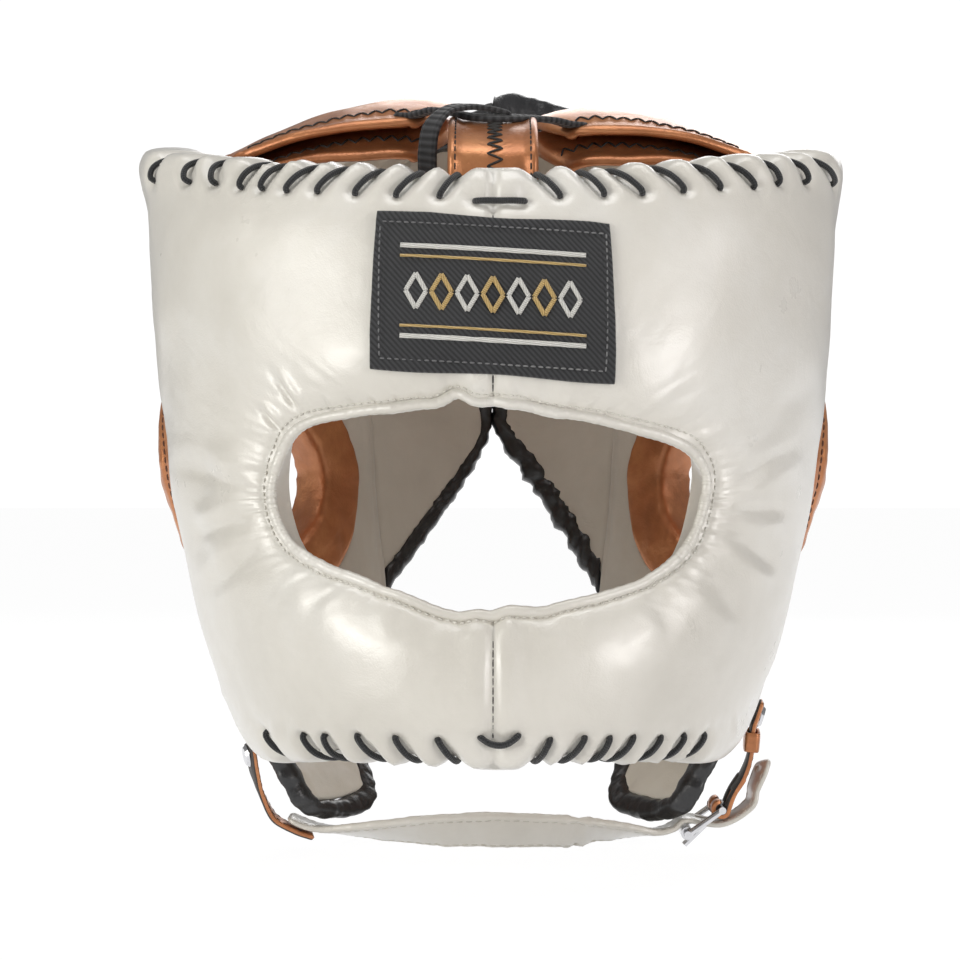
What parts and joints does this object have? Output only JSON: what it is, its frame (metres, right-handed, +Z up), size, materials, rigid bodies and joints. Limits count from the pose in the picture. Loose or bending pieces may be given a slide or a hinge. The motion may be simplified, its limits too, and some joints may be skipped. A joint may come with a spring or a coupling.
{
  "type": "boxing headguard",
  "caption": "Padded leather boxing headguard with a face bar, laced edges, ear openings, hinged rear flaps and a buckled chin strap.",
  "frame": {"origin": "centre of the wearer's head, level with the eyes", "axes": "-Y the way the guard faces, +X the wearer's left, +Z up"},
  "size_m": [0.25, 0.2478, 0.2723],
  "materials": {
    "pearl_leather": "pearl sheen, soft grain",
    "copper_leather": "metallic copper sheen",
    "black_leather": "glossy, finely wrinkled",
    "cream_leather": "satin",
    "lining_fabric": "brushed, matt",
    "label_twill": "twill weave",
    "lace_cord": "braided",
    "foam": "closed-cell foam",
    "bar_plastic": "moulded",
    "steel": "polished"
  },
  "bodies": {
    "shell": {"shell_cover_left": "pearl_leather", "shell_cover_right": "pearl_leather", "forehead_foam": "foam", "cheek_foam_left": "foam", "cheek_foam_right": "foam", "bar_foam_outer": "foam", "bar_foam_inner": "foam", "face_bar": "bar_plastic", "front_lining": "lining_fabric", "eye_rim": "pearl_leather", "label_patch": "label_twill", "top_lacing": "lace_cord", "bottom_lacing": "lace_cord", "side_cover_left": "pearl_leather", "side_cover_right": "pearl_leather", "side_foam_left": "foam", "side_foam_right": "foam", "side_lining_left": "lining_fabric", "side_lining_right": "lining_fabric", "side_binding_left": "black_leather", "side_binding_right": "black_leather", "ear_cover_left": "copper_leather", "ear_cover_right": "copper_leather", "chin_flap_left": "cream_leather", "chin_flap_right": "cream_leather", "flap_binding_left": "black_leather", "flap_binding_right": "black_leather", "crown_petal_left": "copper_leather", "crown_petal_right": "copper_leather", "crown_tab": "copper_leather", "crown_lace": "lace_cord", "rear_yoke_left": "pearl_leather", "rear_yoke_right": "pearl_leather", "yoke_binding_left": "black_leather", "yoke_binding_right": "black_leather"},
    "rear_flap_left": {"rear_cover_left": "pearl_leather", "rear_foam_left": "foam", "rear_lining_left": "lining_fabric", "rear_binding_left": "black_leather", "loop_patch": "label_twill"},
    "rear_flap_right": {"rear_cover_right": "pearl_leather", "rear_foam_right": "foam", "rear_lining_right": "lining_fabric", "rear_binding_right": "black_leather"},
    "closure_strap": {"closure_strap": "pearl_leather"},
    "chin_strap": {"chin_strap": "cream_leather", "buckle_strap": "copper_leather", "anchor_strap": "copper_leather", "buckle_frame": "steel", "strap_rivet_left": "steel", "strap_rivet_right": "steel"},
    "buckle_roller": {"buckle_roller": "steel"},
    "buckle_tongue": {"buckle_tongue": "steel"},
    "strap_keeper": {"strap_keeper": "copper_leather"}
  },
  "joints": [
    {"name": "rear_flap_left_hinge", "type": "hinge", "parent": "shell", "child": "rear_flap_left", "pos_m": [0.054, 0.097, 0.03], "axis": [0, 0, -1], "range_deg": [0, 20]},
    {"name": "rear_flap_right_hinge", "type": "hinge", "parent": "shell", "child": "rear_flap_right", "pos_m": [-0.054, 0.097, 0.03], "axis": [0, 0, 1], "range_deg": [0, 20]},
    {"name": "closure_peel", "type": "hinge", "parent": "rear_flap_right", "child": "closure_strap", "pos_m": [-0.0365, 0.109, 0.071], "axis": [0, 0, 1], "range_deg": [0, 100]},
    {"name": "chin_strap_swing", "type": "hinge", "parent": "shell", "child": "chin_strap", "pos_m": [0.00416, -0.0025, -0.085], "axis": [-0.9967, -0.0273, -0.0763], "range_deg": [-10, 27]},
    {"name": "buckle_tongue_hinge", "type": "hinge", "parent": "chin_strap", "child": "buckle_tongue", "pos_m": [0.082, 0, -0.111], "axis": [0, -1, 0], "range_deg": [0, 23]},
    {"name": "buckle_roller_spin", "type": "hinge", "parent": "chin_strap", "child": "buckle_roller", "pos_m": [0.06971, 0, -0.1196], "axis": [0, 1, 0], "continuous": true},
    {"name": "keeper_slide", "type": "slide", "parent": "chin_strap", "child": "strap_keeper", "axis": [0.0868, 0, 0.9962], "range_m": [-0.0025, 0.0003]}
  ],
  "couplings": [
    {"joint": "rear_flap_right_hinge", "follows": "rear_flap_left_hinge", "ratio": 1}
  ]
}
